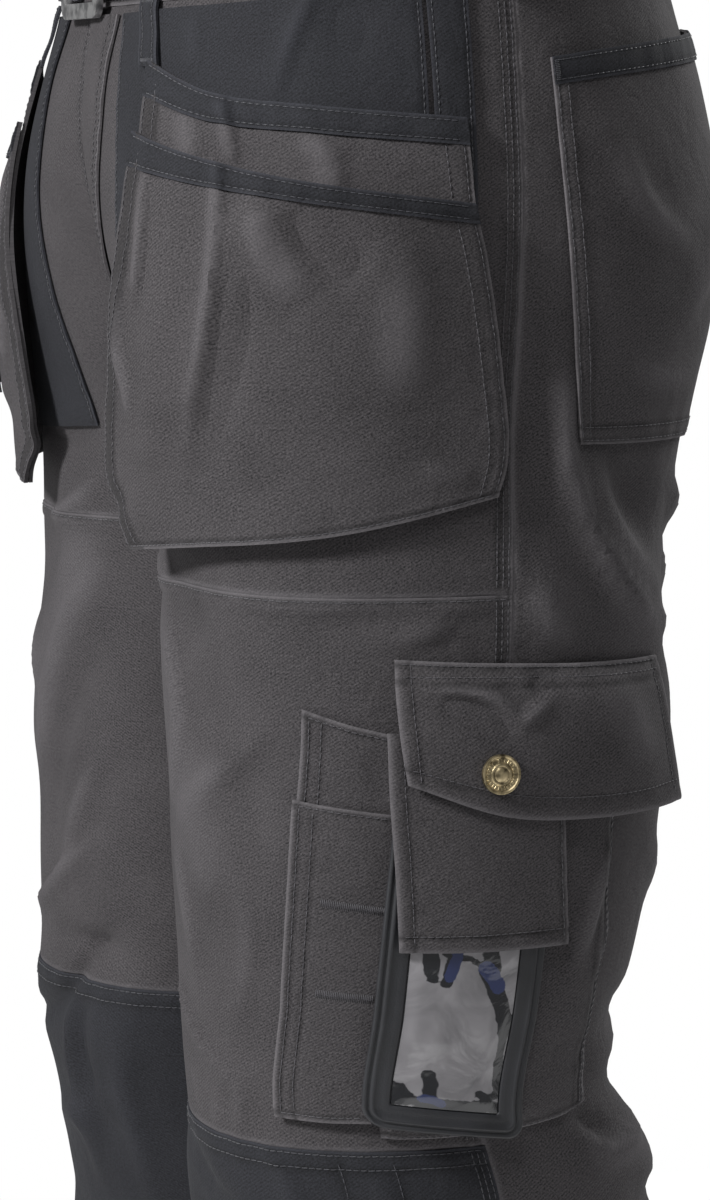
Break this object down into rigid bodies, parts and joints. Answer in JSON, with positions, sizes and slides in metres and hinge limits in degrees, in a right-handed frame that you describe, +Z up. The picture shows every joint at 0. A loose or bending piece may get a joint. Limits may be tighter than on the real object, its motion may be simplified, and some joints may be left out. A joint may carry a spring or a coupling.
{
  "type": "work trousers",
  "caption": "Dark grey work trousers in their worn shape, with black trims, hanging holster pockets, knee patches, a cargo pocket, badge holder and belt.",
  "frame": {"origin": "centre of the waist opening at the height of the waistband's top edge at the side seams", "axes": "+Z up, -Y to the wearer's front, +X to the wearer's left"},
  "size_m": [0.4133, 0.29, 1.0731],
  "materials": {
    "grey_twill": "matt woven twill",
    "black_twill": "matt woven twill, harder wearing",
    "belt_webbing": "flat woven webbing",
    "buckle_steel": "satin",
    "moulded_black": "soft moulded",
    "clear_film": "clear glossy film",
    "old_brass": "antiqued"
  },
  "bodies": {
    "root": {"back_leg_left": "grey_twill", "back_leg_right": "grey_twill", "back_pocket_binding_left": "black_twill", "back_pocket_binding_right": "black_twill", "back_pocket_left": "grey_twill", "back_pocket_right": "grey_twill", "belt": "belt_webbing", "belt_loop_back_left": "grey_twill", "belt_loop_back_right": "grey_twill", "belt_loop_front_left": "grey_twill", "belt_loop_front_right": "grey_twill", "belt_loop_side_left": "grey_twill", "belt_loop_side_right": "grey_twill", "buckle_frame": "buckle_steel", "buckle_prong": "buckle_steel", "flap_button_left": "old_brass", "fly_left": "grey_twill", "front_pocket_binding_left": "black_twill", "front_pocket_binding_right": "black_twill", "front_pocket_facing_left": "black_twill", "front_pocket_facing_right": "black_twill", "front_shin_left": "grey_twill", "front_shin_right": "grey_twill", "front_thigh_left": "grey_twill", "front_thigh_right": "grey_twill", "front_upper_left": "grey_twill", "front_upper_right": "grey_twill", "hammer_loop_right": "black_twill", "holster_back_binding_left": "black_twill", "holster_back_binding_right": "black_twill", "holster_back_left": "grey_twill", "holster_back_right": "grey_twill", "holster_front_binding_left": "black_twill", "holster_front_binding_right": "black_twill", "holster_front_left": "grey_twill", "holster_front_right": "grey_twill", "holster_strap_left": "grey_twill", "holster_strap_right": "grey_twill", "id_back_left": "moulded_black", "id_cover_left": "grey_twill", "id_rim_left": "moulded_black", "id_window_left": "clear_film", "knee_patch_left": "black_twill", "knee_patch_right": "black_twill", "thigh_bag_left": "grey_twill", "thigh_flap_left": "grey_twill", "tool_pocket_back_left": "grey_twill", "tool_pocket_front_left": "grey_twill", "waistband_left": "grey_twill", "waistband_right": "grey_twill"}
  },
  "joints": []
}
